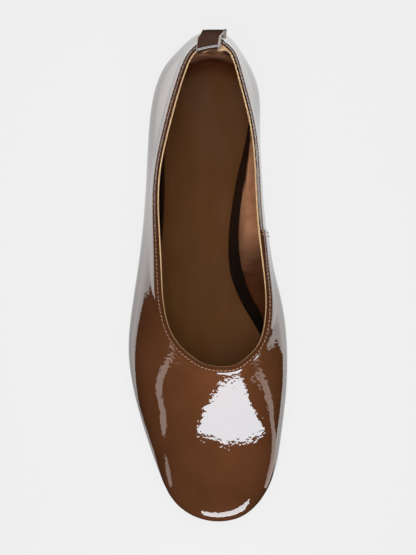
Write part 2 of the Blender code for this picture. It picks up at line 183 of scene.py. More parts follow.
def closed_spline(knots, values, period):
    """A smooth closed curve through values at knots: a function of any number in the period."""
    n = len(knots)
    span = np.diff(np.append(knots, knots[0] + period))
    step = np.roll(values, -1, axis=0) - values
    matrix = np.zeros((n, n))
    right = np.zeros_like(values)
    for i in range(n):
        before = span[i - 1]
        matrix[i, i - 1] += before
        matrix[i, i] += 2 * (before + span[i])
        matrix[i, (i + 1) % n] += span[i]
        right[i] = 6 * (step[i] / span[i] - step[i - 1] / before)
    bend = np.linalg.solve(matrix, right)

    def curve(at):
        at = (np.asarray(at, float) - knots[0]) % period + knots[0]
        i = np.clip(np.searchsorted(knots, at, side="right") - 1, 0, n - 1)
        j = (i + 1) % n
        t = (at - knots[i])[:, None]
        h = span[i][:, None]
        a, b = bend[i], bend[j]
        return (a * (h - t) ** 3 / (6 * h) + b * t**3 / (6 * h)
                + (values[i] / h - a * h / 6) * (h - t) + (values[j] / h - b * h / 6) * t)

    return curve


def open_spline(values):
    """A smooth curve through values, with no bend at its two ends, for t from 0 to 1."""
    values = np.asarray(values, float)
    length = np.append(0, np.cumsum(np.linalg.norm(np.diff(values, axis=0), axis=1)))
    n = len(values)
    span = np.diff(length)
    matrix, right = np.eye(n), np.zeros_like(values)
    for i in range(1, n - 1):
        matrix[i, i - 1 : i + 2] = span[i - 1], 2 * (span[i - 1] + span[i]), span[i]
        right[i] = 6 * ((values[i + 1] - values[i]) / span[i]
                        - (values[i] - values[i - 1]) / span[i - 1])
    bend = np.linalg.solve(matrix, right)

    def curve(t):
        at = np.asarray(t, float) * length[-1]
        i = np.clip(np.searchsorted(length, at, side="right") - 1, 0, n - 2)
        t, h = (at - length[i])[:, None], span[i][:, None]
        a, b = bend[i], bend[i + 1]
        return (a * (h - t) ** 3 / (6 * h) + b * t**3 / (6 * h)
                + (values[i] / h - a * h / 6) * (h - t)
                + (values[i + 1] / h - b * h / 6) * t)

    return curve


def smooth(t):
    t = np.clip(t, 0.0, 1.0)
    return t * t * t * (t * (6 * t - 15) + 10)


def feather_z(station):
    """Height of the upper's bottom edge: heel seat, arch, flat tread, toe spring."""
    tread = SOLE_T + GAP
    seat = HEEL_HEIGHT + tread
    arch = seat + (tread - seat) * smooth(
        (station - HEEL_BREAST * ALONG) / ((TREAD_REAR - HEEL_BREAST) * ALONG))
    toe = np.clip((station - TREAD_FRONT * ALONG) / ((LENGTH - TREAD_FRONT * ALONG)), 0, None)
    return arch + TOE_SPRING * toe**1.9


def rib_values(section, side):
    outline, collar = section[:2]
    lat = side == "lat"
    wall = section[2] if lat else section[3]
    return [
        (outline.lat if lat else outline.med) * WIDE,
        outline.station * ALONG,
        (collar.lat if lat else collar.med) * WIDE,
        (collar.st_lat if lat else collar.st_med) * ALONG,
        collar.z_lat if lat else collar.z_med,
        wall.widest,
        wall.tuck,
        wall.rise,
        wall.lean,
        wall.reach,
    ]


KEYS = np.array(
    [rib_values(BACK, "lat")]
    + [rib_values(s, "lat") for s in SECTIONS]
    + [rib_values(TIP, "lat")]
    + [rib_values(s, "med") for s in reversed(SECTIONS)]
)
_gaps = np.linalg.norm(np.roll(KEYS[:, :2], -1, axis=0) - KEYS[:, :2], axis=1)
KNOTS = np.append(0, np.cumsum(_gaps))[:-1]
ROUND = float(_gaps.sum())  # once round the outline
TIP_AT = float(KNOTS[len(SECTIONS) + 1])
LAST = closed_spline(KNOTS, KEYS, ROUND)


def around(count):
    """Places on the outline: the back, the lateral side, the tip, the medial side, in pairs."""
    half = count // 2
    lat = np.linspace(0, TIP_AT, half + 1)
    med = np.linspace(TIP_AT, ROUND, half + 1)[1:-1]
    return np.concatenate([lat, med])


def inward(at):
    """Unit vectors in plan that point into the shoe, across the outline."""
    step = 0.5
    along = LAST(at + step)[:, :2] - LAST(at - step)[:, :2]
    along /= np.linalg.norm(along, axis=1)[:, None]
    return np.stack([along[:, 1], -along[:, 0]], axis=1)


def feather(at, more=0.0):
    """The feather line in plan, or a line that lies `more` inside it."""
    value = LAST(at)
    return value[:, :2] + inward(at) * (value[:, 6] + more)[:, None]


def bezier(p0, p1, p2, p3, t):
    return (1 - t) ** 3 * p0 + 3 * (1 - t) ** 2 * t * p1 + 3 * (1 - t) * t**2 * p2 + t**3 * p3


def ring_at(at, level):
    """One ring of the shell's outer face.  level: -1 feather line, 0 widest line, 1 collar."""
    v = LAST(at)
    out, top, z_top = v[:, :2], v[:, 2:4], v[:, 4]
    tuck, rise, lean, reach = v[:, 6], v[:, 7], np.radians(v[:, 8]), v[:, 9]
    z_foot = feather_z(feather(at)[:, 1])
    z_wide = z_foot + v[:, 5]
    if level >= 0:
        run = np.linalg.norm(top - out, axis=1)
        way = (top - out) / run[:, None]
        chord = np.hypot(run, z_top - z_wide)
        d = bezier(0, 0, run - reach * chord * np.cos(lean), run, level)
        z = bezier(z_wide, z_wide + rise * (z_top - z_wide),
                   z_top - reach * chord * np.sin(lean), z_top, level)
    else:
        way = inward(at)
        t = -level
        d = bezier(0, 0, 0.45 * tuck, tuck, t)
        z = bezier(z_wide, z_wide - 0.55 * (z_wide - z_foot), z_foot, z_foot, t)
    plan = out + way * d[:, None]
    return np.column_stack([plan, z])


# ------------------------------------------------------------------ place in the frame
def raw(points):
    p = np.asarray(points, float)
    return np.stack([p[..., 0], LENGTH / 2 - p[..., 1], p[..., 2]], axis=-1)


def frame_shift():
    """How far the CAD moved the last so that it stands centred on the floor."""
    at = around(CAD_RIBS)
    p = raw(np.vstack([ring_at(at, level) for level in np.linspace(-1, 1, 25)]))
    low, high = (np.array(corner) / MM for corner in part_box("upper"))
    shift = (low + high) / 2 - (p.min(0) + p.max(0)) / 2
    shift[2] = high[2] - p[:, 2].max()
    return shift


SHIFT = frame_shift()


def place(points):
    """Last coordinates (across, station, height) in mm to metres in the frame."""
    return (raw(points) + SHIFT) * MM


# ------------------------------------------------------------------ mesh helpers
def unit(v):
    return v / np.maximum(np.linalg.norm(v, axis=-1, keepdims=True), 1e-12)


def mesh_object(name, verts, faces, mats, face_mats=None, attributes=None):
    """verts are metres in the frame."""
    mesh = bpy.data.meshes.new(name)
    mesh.from_pydata([tuple(v) for v in np.asarray(verts, float).tolist()], [], faces)
    for mat in mats:
        mesh.materials.append(mat)
    if face_mats is not None:
        mesh.polygons.foreach_set("material_index", np.asarray(face_mats, np.int32))
    for key, values in (attributes or {}).items():
        layer = mesh.attributes.new(key, "FLOAT", "POINT")
        layer.data.foreach_set("value", np.asarray(values, np.float32))
    mesh.shade_smooth()
    mesh.validate()
    mesh.update()
    obj = bpy.data.objects.new(name, mesh)
    bpy.context.scene.collection.objects.link(obj)
    return obj


def outward(obj):
    """Makes the faces of a closed mesh point out."""
    bm = bmesh.new()
    bm.from_mesh(obj.data)
    bmesh.ops.recalc_face_normals(bm, faces=bm.faces)
    if bm.calc_volume(signed=True) < 0:
        bmesh.ops.reverse_faces(bm, faces=bm.faces)
    bm.to_mesh(obj.data)
    bm.free()
    obj.data.update()


def ring_faces(first, second, count):
    return [(first + i, first + (i + 1) % count, second + (i + 1) % count, second + i)
            for i in range(count)]


def piece(obj, slot, *nodes):
    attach(obj, "root")
    if nodes:
        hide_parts(*nodes)
    return obj


# ------------------------------------------------------------------ material helpers
def new_material(name, colour, roughness):
    mat = bpy.data.materials.new(name)
    mat.use_nodes = True
    tree = mat.node_tree
    shader = tree.nodes["Principled BSDF"]
    shader.inputs["Base Color"].default_value = (*colour, 1.0)
    shader.inputs["Roughness"].default_value = roughness
    mat.diffuse_color = (*colour, 1.0)
    return mat, tree, shader


def node(tree, kind, inputs=None, **settings):
    n = tree.nodes.new(kind)
    for key, value in settings.items():
        setattr(n, key, value)
    for key, value in (inputs or {}).items():
        if hasattr(value, "is_output"):
            tree.links.new(value, n.inputs[key])
        else:
            n.inputs[key].default_value = value
    return n


def coords(tree, scale=(1.0, 1.0, 1.0)):
    where = node(tree, "ShaderNodeTexCoord")
    return node(tree, "ShaderNodeMapping",
                {"Vector": where.outputs["Object"], "Scale": scale}).outputs["Vector"]


def noise(tree, vector, scale, detail=2.0, rough=0.5, distortion=0.0):
    return node(tree, "ShaderNodeTexNoise",
                {"Vector": vector, "Scale": scale, "Detail": detail, "Roughness": rough,
                 "Distortion": distortion}).outputs["Fac"]


def ramp(tree, fac, stops):
    n = node(tree, "ShaderNodeValToRGB", {"Fac": fac})
    ends = n.color_ramp.elements
    while len(ends) < len(stops):
        ends.new(0.5)
    for e, (at, colour) in zip(ends, stops):
        e.position = at
        e.color = (*colour, 1.0) if len(colour) == 3 else colour
    return n.outputs["Color"]


def spread(tree, fac, low, high):
    """A noise value mapped to a range of numbers."""
    return node(tree, "ShaderNodeMapRange",
                {"Value": fac, "From Min": 0.25, "From Max": 0.75, "To Min": low,
                 "To Max": high}).outputs["Result"]


def mix(tree, fac, a, b, blend="MIX"):
    n = node(tree, "ShaderNodeMix", data_type="RGBA", blend_type=blend)
    for key, value in ((0, fac), (6, a), (7, b)):
        if hasattr(value, "is_output"):
            tree.links.new(value, n.inputs[key])
        elif key == 0:
            n.inputs[key].default_value = value
        else:
            n.inputs[key].default_value = (*value, 1.0)
    return n.outputs[2]


def bump(tree, height, distance, strength=1.0, normal=None):
    n = node(tree, "ShaderNodeBump",
             {"Height": height, "Distance": distance, "Strength": strength})
    if normal is not None:
        tree.links.new(normal, n.inputs["Normal"])
    return n.outputs["Normal"]


def attribute(tree, name):
    return node(tree, "ShaderNodeAttribute", attribute_name=name).outputs["Fac"]


# ------------------------------------------------------------------ materials
def patent_material(name, deep, bright, crinkle=1.0, rolled=False):
    mat, tree, shader = new_material(name, bright, 0.42)
    v = coords(tree)
    cloud = noise(tree, v, 38.0, 3.0, 0.55)
    fine = noise(tree, v, 420.0, 2.0, 0.6)
    colour = ramp(tree, cloud, ((0.3, deep), (0.7, bright)))
    colour = mix(tree, spread(tree, fine, 0.0, 0.22), colour, tuple(0.8 * c for c in deep))
    if rolled:
        # painted shade: the colour is deeper on the rolled edge of the collar, where it turns away from the
        # light
        near = node(tree, "ShaderNodeMapRange", {"Value": attribute(tree, "edge"), "From Min": 1.2,
                                                 "From Max": 3.8, "To Min": 0.6, "To Max": 0.0})
        colour = mix(tree, near.outputs["Result"], colour, tuple(0.45 * c for c in deep))
    tree.links.new(colour, shader.inputs["Base Color"])
    tree.links.new(spread(tree, fine, 0.36, 0.5), shader.inputs["Roughness"])
    wave = bump(tree, noise(tree, v, 62.0, 1.0, 0.4), 0.00008 * crinkle, 1.0)
    wrinkle = noise(tree, v, 540.0, 0.8, 0.5, 0.3)
    grain = bump(tree, wrinkle, 0.000038 * crinkle, 1.0, wave)
    tree.links.new(grain, shader.inputs["Normal"])
    tree.links.new(grain, shader.inputs["Coat Normal"])
    shader.inputs["Specular IOR Level"].default_value = 0.0
    shader.inputs["Coat Weight"].default_value = 1.0
    shader.inputs["Coat Roughness"].default_value = 0.02
    shader.inputs["Coat IOR"].default_value = 1.6
    return mat


def raw_edge_material(name, dark, mid, pale):
    mat, tree, shader = new_material(name, mid, 0.8)
    v = coords(tree)
    fibre = noise(tree, v, 900.0, 3.0, 0.6)
    slow = noise(tree, v, 60.0, 2.0, 0.5)
    colour = ramp(tree, fibre, ((0.3, mid), (0.7, pale)))
    colour = mix(tree, spread(tree, slow, 0.0, 0.35), colour, dark)
    # painted shade: duller towards the throat
    dull = node(tree, "ShaderNodeMath", {0: attribute(tree, "painted_shade"), 1: 3.0}, operation="POWER").outputs["Value"]
    dull = node(tree, "ShaderNodeMath", {0: dull, 1: 0.6}, operation="MULTIPLY").outputs["Value"]
    colour = mix(tree, dull, colour, tuple(0.32 * c for c in dark))
    tree.links.new(colour, shader.inputs["Base Color"])
    tree.links.new(bump(tree, fibre, 0.00008), shader.inputs["Normal"])
    shader.inputs["Specular IOR Level"].default_value = 0.1
    return mat


def lining_material():
    mat, tree, shader = new_material("lining", (0.36, 0.16, 0.078), 0.6)
    v = coords(tree, (1.0, 1.0, 0.35))
    streak = noise(tree, v, 130.0, 3.0, 0.6)
    rub = noise(tree, coords(tree), 34.0, 2.0, 0.5)
    pores = noise(tree, coords(tree), 1100.0, 2.0, 0.6)
    colour = ramp(tree, streak, ((0.28, (0.37, 0.163, 0.079)), (0.5, (0.52, 0.240, 0.123)),
                                 (0.75, (0.64, 0.315, 0.172))))
    colour = mix(tree, spread(tree, rub, 0.0, 0.40), colour, (0.34, 0.144, 0.070))
    # painted light: lighter near the collar
    painted_light = node(tree, "ShaderNodeMapRange", {"Value": attribute(tree, "edge"), "From Min": 2.0,
                                              "From Max": 28.0, "To Min": 0.95, "To Max": 0.0})
    colour = mix(tree, painted_light.outputs["Result"], colour, (0.92, 0.49, 0.285))
    # painted shade: darker towards the ball of the foot and at the heel
    painted_shade = node(tree, "ShaderNodeMath", {0: attribute(tree, "painted_shade"), 1: spread(tree, streak, 0.58, 1.0)},
                operation="MULTIPLY").outputs["Value"]
    colour = mix(tree, painted_shade, colour, (0.082, 0.033, 0.015))
    # painted shade: dark fold marks, and a dark crease where the heel meets the sock and towards the ball
    fold_shade = noise(tree, coords(tree, (0.45, 1.5, 0.6)), 210.0, 2.0, 0.5, 0.6)
    fold_shade = node(tree, "ShaderNodeMath", {0: attribute(tree, "crease_shade"), 1: spread(tree, fold_shade, -1.2, 2.4)},
                 operation="MULTIPLY", use_clamp=True).outputs["Value"]
    colour = mix(tree, fold_shade, colour, (0.060, 0.024, 0.011))
    colour = mix(tree, attribute(tree, "crease_shade"), colour, (0.060, 0.0165, 0.0037))
    # painted shade beside the sock on the medial side and in the pocket by the loop's inner end
    colour = mix(tree, attribute(tree, "low"), colour, (0.0150, 0.0062, 0.0032))
    tree.links.new(colour, shader.inputs["Base Color"])
    tree.links.new(spread(tree, pores, 0.5, 0.72), shader.inputs["Roughness"])
    tree.links.new(bump(tree, pores, 0.00006), shader.inputs["Normal"])
    shader.inputs["Specular IOR Level"].default_value = 0.08
    return mat


def sock_material():
    mat, tree, shader = new_material("sock_leather", (0.085, 0.038, 0.018), 0.55)
    v = coords(tree)
    slow = noise(tree, coords(tree, (1.0, 0.35, 1.0)), 48.0, 2.5, 0.5)
    pores = noise(tree, v, 1300.0, 2.0, 0.6)
    colour = ramp(tree, slow, ((0.3, (0.096, 0.037, 0.0088)), (0.55, (0.118, 0.0475, 0.0145)),
                               (0.75, (0.130, 0.058, 0.0260))))
    colour = mix(tree, spread(tree, pores, 0.0, 0.3), colour, (0.060, 0.025, 0.009))
    # painted shade at the back of the seat
    colour = mix(tree, attribute(tree, "heel"), colour, (0.068, 0.0175, 0.004))
    tree.links.new(colour, shader.inputs["Base Color"])
    tree.links.new(spread(tree, pores, 0.46, 0.66), shader.inputs["Roughness"])
    tree.links.new(bump(tree, pores, 0.00006), shader.inputs["Normal"])
    shader.inputs["Specular IOR Level"].default_value = 0.06
    return mat


def board_and_shade_material():
    # dark brown board, near black: partly its own colour, partly painted shade
    mat, tree, shader = new_material("shaded_insole_board", (0.020, 0.010, 0.006), 0.85)
    v = coords(tree)
    fibre = noise(tree, v, 700.0, 4.0, 0.65)
    colour = ramp(tree, fibre, ((0.3, (0.0115, 0.0048, 0.0024)), (0.7, (0.0235, 0.0098, 0.0050))))
    # painted shade: darker towards the toe, under the vamp
    along = node(tree, "ShaderNodeSeparateXYZ", {"Vector": v}).outputs["Y"]
    ahead = node(tree, "ShaderNodeMapRange", {"Value": along, "From Min": -0.005, "From Max": 0.045,
                                              "To Min": 0.8, "To Max": 0.0}).outputs["Result"]
    colour = mix(tree, ahead, colour, (0.0045, 0.0030, 0.0018))
    tree.links.new(colour, shader.inputs["Base Color"])
    tree.links.new(bump(tree, fibre, 0.0001), shader.inputs["Normal"])
    shader.inputs["Specular IOR Level"].default_value = 0.05
    return mat


def sole_material(name, deep, bright):
    mat, tree, shader = new_material(name, bright, 0.5)
    v = coords(tree)
    cloud = noise(tree, v, 55.0, 3.0, 0.6)
    pores = noise(tree, v, 800.0, 3.0, 0.6)
    scuff = noise(tree, coords(tree, (1.0, 0.22, 1.0)), 160.0, 4.0, 0.65)
    colour = ramp(tree, cloud, ((0.3, deep), (0.7, bright)))
    colour = mix(tree, spread(tree, scuff, -0.35, 0.4), colour, tuple(1.9 * c for c in bright))
    tree.links.new(colour, shader.inputs["Base Color"])
    tree.links.new(spread(tree, pores, 0.4, 0.62), shader.inputs["Roughness"])
    tree.links.new(bump(tree, pores, 0.00007), shader.inputs["Normal"])
    return mat


def thread_material():
    mat, tree, shader = new_material("thread", (0.34, 0.18, 0.11), 0.55)
    v = coords(tree)
    ply = node(tree, "ShaderNodeTexWave",
               {"Vector": v, "Scale": 900.0, "Distortion": 1.5, "Detail": 1.0},
               bands_direction="DIAGONAL").outputs["Fac"]
    colour = ramp(tree, ply, ((0.2, (0.27, 0.13, 0.076)), (0.8, (0.53, 0.315, 0.21))))
    tree.links.new(colour, shader.inputs["Base Color"])
    tree.links.new(bump(tree, ply, 0.00005), shader.inputs["Normal"])
    shader.inputs["Sheen Weight"].default_value = 0.2
    return mat


PATENT = patent_material("patent_leather_look", (0.118, 0.0405, 0.0145), (0.155, 0.0550, 0.0215),
                         rolled=True)
# painted reflection: the loop's colour is greyer than the shoe's, for the dim reflection on its faces
LOOP_FACE = patent_material("loop_leather_look", (0.060, 0.0305, 0.0205), (0.080, 0.0410, 0.0290), 0.7)
RAW_EDGE = raw_edge_material("raw_edge", (0.60, 0.36, 0.18), (0.70, 0.44, 0.22), (0.95, 0.68, 0.40))
LOOP_EDGE = raw_edge_material("loop_edge", (0.28, 0.235, 0.205), (0.38, 0.335, 0.30),
                              (0.52, 0.475, 0.44))
LINING = lining_material()
SOCK = sock_material()
BOARD_AND_SHADE = board_and_shade_material()
SOLE = sole_material("sole_look", (0.040, 0.0185, 0.0095), (0.066, 0.031, 0.016))
HEEL = sole_material("heel_look", (0.034, 0.016, 0.0085), (0.056, 0.027, 0.0145))
STITCH = thread_material()


# ------------------------------------------------------------------ the shell
def seam_place():
    """The rib on the medial side whose collar point is at the side seam."""
    at = np.linspace(TIP_AT, ROUND, 2000)
    station = LAST(at)[:, 3]
    keep = at > TIP_AT + 90
    return float(np.interp(-SEAM_STATION, -station[keep], at[keep]))


SEAM_AT = seam_place()


def shell_ribs(count):
    ribs = around(count)
    near = np.array([-3.0, -1.5, -0.6, -0.25, -0.06, 0.06, 0.25, 0.6, 1.5, 3.0]) + SEAM_AT
    ribs = ribs[np.abs(ribs - SEAM_AT) > 3.6]
    return np.sort(np.concatenate([ribs, near]))


def outer_grid(at, near_rows, far_rows):
    """Outer face from the collar down to the feather line, rows at even distances.

    Returns points (rows, ribs, 3) and the distance of each from the collar edge.
    """
    levels = np.concatenate([np.linspace(1, 0, 91), np.linspace(0, -1, 41)[1:]])
    dense = np.array([ring_at(at, level) for level in levels])
    step = np.linalg.norm(np.diff(dense, axis=0), axis=2)
    run = np.concatenate([np.zeros((1, len(at))), np.cumsum(step, axis=0)])
    t = np.linspace(0, 1, far_rows + 1)[1:]
    grid = np.empty((len(near_rows) + far_rows, len(at), 3))
    dist = np.empty(grid.shape[:2])
    for i in range(len(at)):
        total = run[-1, i]
        want = np.concatenate([near_rows, near_rows[-1] + (total - near_rows[-1]) * t])
        dist[:, i] = want
        for k in range(3):
            grid[:, i, k] = np.interp(want, run[:, i], dense[:, i, k])
    return grid, dist


def grid_normals(grid):
    """Normals that point out of the shoe; ribs close on themselves, rows are open."""
    along = np.roll(grid, -1, axis=1) - np.roll(grid, 1, axis=1)
    down = np.empty_like(grid)
    down[1:-1] = grid[2:] - grid[:-2]
    down[0] = grid[1] - grid[0]
    down[-1] = grid[-1] - grid[-2]
    n = unit(np.cross(along, down))
    middle = np.array([2.0, 110.0, 0.0])
    sign = np.sum(n * (grid - middle) * np.array([1.0, 0.35, 0.0]), axis=2)
    return n if sign.sum() > 0 else -n


NEAR = np.array([0.0, 0.2, 0.45, 0.7, 0.95, 1.2, 1.45, 1.65, 1.8, 1.95, 2.1, 2.25, 2.45, 2.7,
                 3.0, 3.4, 3.9, 4.6, 5.5, 6.6, 8.0])


def collar_inset(d, at):
    """How far the outer face lies inside the last near the collar: rolled edge and stitch groove.

    The band is rounder and stands out more on the steep side walls than at the throat.
    """
    steep = smooth((LAST(at)[:, 8] - 30.0) / 30.0)
    swell = 0.045 + (BAND_SWELL - 0.045) * steep
    band = 2.5 + (ROLL_BAND - 2.5) * steep
    roll = ROLL - (ROLL + swell) * (1 - (1 - np.clip(d / band, 0, 1)) ** 1.4)
    ease = swell * smooth((d - band) / (1.6 + 4.4 * steep))
    groove = (0.12 + 0.06 * steep) * np.exp(-(((d - STITCH_FROM_EDGE) / 0.42) ** 2))
    return roll + ease + groove


def loop_pad(at):
    """How far the lining is pushed in where the inner end of the loop lies behind it."""
    v = LAST(at)
    near = smooth((v[:, 2] + 6.6) / 2.6) * smooth((12.0 - v[:, 2]) / 4.6)
    return LOOP_PAD * np.where(v[:, 3] < 22.0, near, 0.0)


def heel_cup(at, points):
    """At the heel the lining stands upright over a round seat."""
    v = LAST(at)
    across = points[:, 0] - CUP_MIDDLE
    depth = v[:, 4] - points[:, 2]
    seat = CUP_STATION + CUP_LEAN * smooth(depth / 16.0) + across**2 / (2 * CUP_RADIUS)
    short = seat - points[:, 1]
    push = 0.5 * (short + np.sqrt(short**2 + 0.3)) * smooth((22.0 - np.abs(across)) / 14.0)
    push *= smooth(depth / 10.0)
    push *= smooth((points[:, 2] - feather_z(feather(at)[:, 1]) - 2.0) / 2.5)
    return np.column_stack([points[:, 0], points[:, 1] + push, points[:, 2]])


def lining_crease_shade(ring, at):
    """Painted shade on the lining: strongest where the heel meets the sock, and towards the ball."""
    rise = ring[:, 2] - feather_z(feather(at)[:, 1]) - 4.9
    heel = (0.42 + 0.58 * smooth((24.0 - rise) / 22.0)) * smooth((34.0 - ring[:, 1]) / 12.0)
    return np.maximum(heel, 0.94 * smooth((ring[:, 1] - 108.0) / 27.0))


# How far out the shade beside the sock reaches: place along the shoe, place across, mm.
SHADE_EDGE = ((72.2, 22.6), (61.7, 21.0), (51.2, 19.7), (40.7, 17.7), (30.2, 16.2), (25.0, 15.8),
              (19.7, 15.6), (14.4, 15.9), (9.2, 16.5), (3.9, 17.2), (-1.3, 19.2), (-6.6, 21.1),
              (-11.8, 23.6), (-17.1, 27.0), (-22.3, 29.2))


def low_shade(ring, at):
    """Painted shade, 1 at its darkest: on the medial lining beside the sock and in the pocket beside the loop's
    inner end.
    """
    x, y, _ = (place(ring) / MM).T
    table = np.array(SHADE_EDGE)
    low = smooth((np.interp(-y, -table[:, 0], table[:, 1]) + 0.3 - x) / 0.7)
    low *= np.where(at > TIP_AT, smooth((80.0 - y) / 8.0), 0.0)
    u = 0.824 * (x - 10.4) - 0.566 * (y - 113.6)
    v = 0.566 * (x - 10.4) + 0.824 * (y - 113.6)
    pocket = smooth(1.8 * (1 - (u / 4.0) ** 2 - (v / 1.3) ** 2))
    pocket *= smooth((11.0 - LAST(at)[:, 4] + ring[:, 2]) / 3.0)
    return np.maximum(low, pocket)


def lining_shade(ring, at, share, d):
    """Painted shade on the lining: grows towards the ball, less high on the medial wall, some at the heel."""
    station = ring[:, 1]
    front = smooth((station - 64.0 - 28.0 * (1 - smooth(d / 16.0))) / 56.0)
    x, y, _ = (place(ring) / MM).T
    table = np.array(SHADE_EDGE)
    high = smooth((x - np.interp(-y, -table[:, 0], table[:, 1]) - 1.0) / 4.5)
    painted_light = np.where(at > TIP_AT, 0.9 * high * (1 - smooth((station - 98.0) / 20.0)), 0.0)
    return np.maximum(front * (1 - painted_light), share * smooth((40.0 - station) / 16.0))


def seam_lift(at, dist):
    """The front piece laps over the back piece at the side seam."""
    ahead = SEAM_AT - at
    lift = np.where(ahead > 0, SEAM_STEP * (1 - smooth(ahead / 26.0)), 0.0)
    dip = np.where(ahead > 0, 0.16 * np.exp(-(((ahead - 1.6) / 0.5) ** 2)), 0.0)
    fade = smooth((dist - 0.2) / 1.6)
    return (lift - dip)[None, :] * (0.35 + 0.65 * fade)


def make_upper():
    at = shell_ribs(470)
    count = len(at)
    grid, dist = outer_grid(at, NEAR, 52)
    normals = grid_normals(grid)
    outer = grid - normals * (collar_inset(dist, at) - seam_lift(at, dist))[..., None]
    flange = []
    for more in (MARGIN * 0.35, MARGIN * 0.7, MARGIN):
        line = feather(at, more)
        flange.append(np.column_stack([line, feather_z(line[:, 1])]))
    # The rim: raw edge between the rolled outer face and the lining.
    top = grid[0]
    n0 = normals[0]
    up = unit(grid[0] - grid[1])
    pad = loop_pad(at)
    rim = []
    for inset, share, rise in ((ROLL + 0.05, 0.0, 0.0), (ROLL + 0.16, 0.0, 0.07),
                               (ROLL + 0.45, 0.25, 0.10), (WALL_T, 0.85, 0.07),
                               (WALL_T + RIM_OVER - 0.05, 1.0, -0.03),
                               (WALL_T + RIM_OVER, 1.0, -0.22)):
        rim.append(top - n0 * (inset + share * pad)[:, None] + up * rise)
    # The lining: every other row of the outer face, a wall's thickness in.
    picks = [3, 5, 9, 13, 16, 18, 20] + list(range(22, len(grid), 2))
    inner = []
    for k in picks:
        inset = WALL_T + pad * (1 - smooth((dist[k] - 1.0) / 10.0))
        inner.append(heel_cup(at, grid[k] - normals[k] * inset[:, None]))
    floor_in = []
    for more in (MARGIN * 0.5, MARGIN):
        line = feather(at, more)
        floor_in.append(np.column_stack([line, feather_z(line[:, 1]) + WALL_T]))
    rings = flange[::-1] + list(outer[::-1]) + rim + inner + floor_in
    kinds = ([0] * (len(flange) + len(outer)) + [1] * (len(rim) - 1) + [2] * (len(inner) - 2) + [3] * 5)
    verts = place(np.vstack(rings))
    from_edge = ([np.full(count, 60.0)] * len(flange) + list(dist[::-1]) + [np.zeros(count)] * len(rim)
                 + [dist[k] for k in picks] + [np.full(count, 60.0)] * 2)
    edge = np.concatenate(from_edge)
    heel_shade_share = [0.3 if k == 1 else 0.92 for k in kinds]
    painted_shade = np.concatenate([lining_shade(ring, at, share, d)
                           for ring, share, d in zip(rings, heel_shade_share, from_edge)])
    crease_shade = np.concatenate([lining_crease_shade(ring, at) for ring in rings])
    low = np.concatenate([low_shade(ring, at) for ring in rings])
    faces, mats = [], []
    for r in range(len(rings)):
        s = (r + 1) % len(rings)
        faces += ring_faces(r * count, s * count, count)
        mats += [kinds[r]] * count
    # painted shade: on the lateral side the lowest lining rows keep the near-black board colour; on the medial
    # side they are lining
    for r in range(len(rings) - 5, len(rings)):
        for i in np.nonzero(at > TIP_AT)[0]:
            mats[r * count + i] = 2
    first = len(flange)
    collar = LAST(at)
    under = np.nonzero((collar[:, 3] < 22.0) & (collar[:, 2] > -5.4) & (collar[:, 2] < 7.2))[0]
    for r in range(first + len(outer), first + len(outer) + len(rim)):
        for i in under:
            mats[r * count + i] = 2
    seam = int(np.argmin(np.abs(at - (SEAM_AT - 0.06))))
    for r in range(first, first + len(outer) - 1):
        if np.mean(edge[r * count:(r + 1) * count]) > 0.3:
            mats[r * count + seam] = 1
    obj = mesh_object("upper_shell", verts, faces, [PATENT, RAW_EDGE, LINING, BOARD_AND_SHADE], mats,
                      {"edge": edge, "painted_shade": painted_shade, "crease_shade": crease_shade, "low": low})
    outward(obj)
    return piece(obj, "patent_leather", "upper")


# ------------------------------------------------------------------ stitches
def capsules(name, centres, ways, ups, length, width, mats, sides=8):
    """Short threads: rounded bars along `ways`, all in one mesh."""
    profile = [(-0.5, 0.02), (-0.46, 0.55), (-0.36, 0.88), (-0.18, 1.0), (0.0, 1.0), (0.18, 1.0),
               (0.36, 0.88), (0.46, 0.55), (0.5, 0.02)]
    verts, faces = [], []
    for c, w, u in zip(centres, ways, ups):
        s = np.cross(w, u)
        base = len(verts)
        for along, thick in profile:
            sag = -0.10 * (2 * along) ** 4
            for k in range(sides):
                a = 2 * math.pi * k / sides
                verts.append(c + w * along * length
                             + (s * math.cos(a) * 0.5 * width
                                + u * (math.sin(a) * 0.40 * width)) * thick + u * sag * width)
        for r in range(len(profile) - 1):
            faces += ring_faces(base + r * sides, base + (r + 1) * sides, sides)
        faces.append(tuple(base + k for k in range(sides))[::-1])
        faces.append(tuple(base + (len(profile) - 1) * sides + k for k in range(sides)))
    obj = mesh_object(name, place(np.array(verts)), faces, mats)
    outward(obj)
    return obj


def stitch_line(at, d_of):
    """Points and directions on the finished outer face at a distance from the collar."""
    grid, dist = outer_grid(at, NEAR, 20)
    normals = grid_normals(grid)
    outer = grid - normals * (collar_inset(dist, at) - seam_lift(at, dist))[..., None]
    rows = np.interp(d_of, NEAR, np.arange(len(NEAR)))
    low = int(math.floor(rows))
    f = rows - low
    return outer[low] * (1 - f) + outer[low + 1] * f, unit(normals[low])


